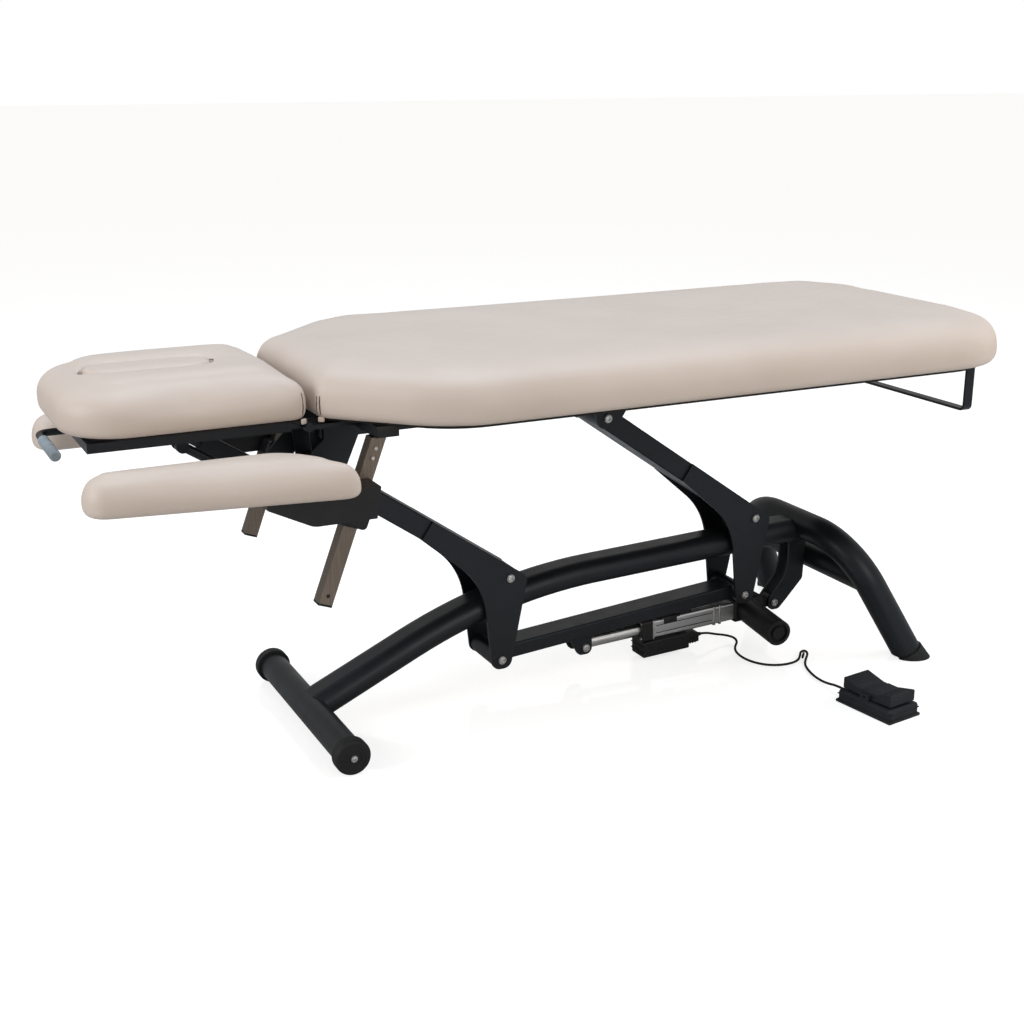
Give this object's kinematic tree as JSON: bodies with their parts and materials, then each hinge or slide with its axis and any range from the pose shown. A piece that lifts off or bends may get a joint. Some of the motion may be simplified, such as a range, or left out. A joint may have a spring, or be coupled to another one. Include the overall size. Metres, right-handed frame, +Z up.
{
  "type": "massage table",
  "caption": "Electric massage table: padded top and tilting head pad on parallel lifting arms, with hanging armrests, curved steel base, actuator and foot switch.",
  "frame": {"origin": "on the floor, at the middle of the box around the table and its foot switch", "axes": "+X towards the foot end, +Y to the side away from the foot switch, +Z up"},
  "size_m": [1.8438, 0.8388, 0.711],
  "materials": {
    "vinyl": "soft matt upholstery vinyl, warm off-white",
    "black_steel": "satin black powder coat",
    "black_plastic": "moulded matt black",
    "rubber": "black rubber",
    "zinc": "bright zinc plated",
    "bronze_steel": "bronze grey metallic coat",
    "aluminium": "satin anodised",
    "chrome": "polished rod",
    "grip_grey": "grey moulded grip",
    "plywood": "plain plywood"
  },
  "bodies": {
    "base": {"front_foot_bar": "black_steel", "foot_bar_caps": "rubber", "base_bolts": "zinc", "main_beam": "black_steel", "beam_pivot_lugs": "black_steel", "rear_arch": "black_steel", "arch_feet": "rubber", "tie_bar": "black_steel", "actuator_bracket": "black_steel", "foot_switch_base": "black_plastic", "cable_gland": "rubber", "foot_switch_cable": "rubber"},
    "rear_arm": {"rear_arm_tube": "black_steel", "rear_arm_plates": "black_steel", "rear_arm_bolts": "zinc"},
    "front_arm": {"front_arm_tube": "black_steel", "front_arm_plates": "black_steel", "front_arm_bolts": "zinc"},
    "link": {"link_bar": "black_steel", "link_bushes": "black_steel", "link_lugs": "black_steel", "link_lug_bolts": "zinc"},
    "actuator": {"actuator_nose": "black_plastic", "actuator_case": "aluminium", "actuator_gearbox": "black_plastic", "actuator_motor": "black_plastic", "motor_end_cap": "black_plastic", "control_box": "black_plastic", "control_plug": "black_plastic"},
    "rod": {"actuator_rod": "chrome"},
    "top_frame": {"frame_rails": "black_steel", "frame_pivot_plates": "black_steel", "frame_pivot_bolts": "zinc", "main_board": "plywood", "main_pad": "vinyl", "strut_brackets": "black_steel", "frame_hinge_leaves": "black_steel", "armrest_posts": "bronze_steel", "post_end_plugs": "black_plastic", "frame_screws": "zinc", "paper_bar": "black_steel"},
    "head": {"head_rails": "black_steel", "head_cross_bars": "black_steel", "head_hinge": "black_steel", "head_board": "plywood", "head_pad": "vinyl", "strut_lugs": "black_steel"},
    "plug": {"face_plug": "vinyl"},
    "lever": {"release_lever": "black_steel", "lever_grip": "grip_grey"},
    "strut_sleeve": {"strut_sleeves": "black_steel"},
    "strut_rod": {"strut_rods": "black_steel"},
    "near_armrest": {"near_armrest_bracket": "black_plastic", "near_armrest_knob": "black_plastic", "near_armrest_pad": "vinyl"},
    "far_armrest": {"far_armrest_bracket": "black_plastic", "far_armrest_knob": "black_plastic", "far_armrest_pad": "vinyl"},
    "rocker": {"foot_switch_rocker": "black_plastic"}
  },
  "joints": [
    {"name": "lift", "type": "hinge", "parent": "base", "child": "rear_arm", "pos_m": [0.47811, 0.06864, 0.285], "axis": [0, 1, 0], "range_deg": [-20, 20]},
    {"name": "front_arm_swing", "type": "hinge", "parent": "base", "child": "front_arm", "pos_m": [-0.08389, 0.06864, 0.243], "axis": [0, 1, 0], "range_deg": [-20.4, 20.4]},
    {"name": "top_level", "type": "hinge", "parent": "rear_arm", "child": "top_frame", "pos_m": [0.12298, 0.06864, 0.53274], "axis": [0, 1, 0], "range_deg": [-20.4, 20.4]},
    {"name": "link_level", "type": "hinge", "parent": "rear_arm", "child": "link", "pos_m": [0.46011, 0.06864, 0.12], "axis": [0, 1, 0], "range_deg": [-20.4, 20.4]},
    {"name": "actuator_tilt", "type": "hinge", "parent": "base", "child": "actuator", "pos_m": [0.56311, 0.06864, 0.075], "axis": [0, 1, 0], "range_deg": [-1.05, 1.05], "deforming": ["foot_switch_cable"]},
    {"name": "actuator_stroke", "type": "slide", "parent": "actuator", "child": "rod", "axis": [-0.9993, 0, -0.0368], "range_m": [-0.05779, 0.05779]},
    {"name": "head_tilt", "type": "hinge", "parent": "top_frame", "child": "head", "pos_m": [-0.50389, 0.06864, 0.606], "axis": [0, 1, 0], "range_deg": [-30, 5]},
    {"name": "strut_tilt", "type": "hinge", "parent": "top_frame", "child": "strut_sleeve", "pos_m": [-0.51989, 0.06864, 0.466], "axis": [0, 1, 0], "range_deg": [-22.86, 3.81]},
    {"name": "strut_stroke", "type": "slide", "parent": "strut_sleeve", "child": "strut_rod", "axis": [-0.8425, 0, 0.5387], "range_m": [-0.06909, 0.01152]},
    {"name": "plug_lift", "type": "slide", "parent": "head", "child": "plug", "axis": [0, 0, 1], "range_m": [0, 0.12]},
    {"name": "lever_pull", "type": "hinge", "parent": "head", "child": "lever", "pos_m": [-0.86189, 0.06864, 0.606], "axis": [1, 0, 0], "range_deg": [0, 18], "stiffness_Nm_per_rad": 3},
    {"name": "near_armrest_height", "type": "slide", "parent": "top_frame", "child": "near_armrest", "axis": [0.3502, 0, 0.9367], "range_m": [-0.1, 0.02]},
    {"name": "far_armrest_height", "type": "slide", "parent": "top_frame", "child": "far_armrest", "axis": [0.3502, 0, 0.9367], "range_m": [-0.1, 0.02]},
    {"name": "switch_rock", "type": "hinge", "parent": "base", "child": "rocker", "pos_m": [0.52011, -0.34936, 0.03425], "axis": [0.9903, 0.1392, 0], "range_deg": [-3, 3], "stiffness_Nm_per_rad": 2}
  ],
  "couplings": [
    {"joint": "front_arm_swing", "follows": "lift", "ratio": 1},
    {"joint": "top_level", "follows": "lift", "ratio": -1},
    {"joint": "link_level", "follows": "lift", "ratio": -1},
    {"joint": "actuator_tilt", "follows": "lift", "ratio": 0.05156},
    {"joint": "actuator_stroke", "follows": "lift", "m_per_rad": 0.16232},
    {"joint": "strut_tilt", "follows": "head_tilt", "ratio": 0.74705},
    {"joint": "strut_stroke", "follows": "head_tilt", "m_per_rad": 0.12937}
  ]
}
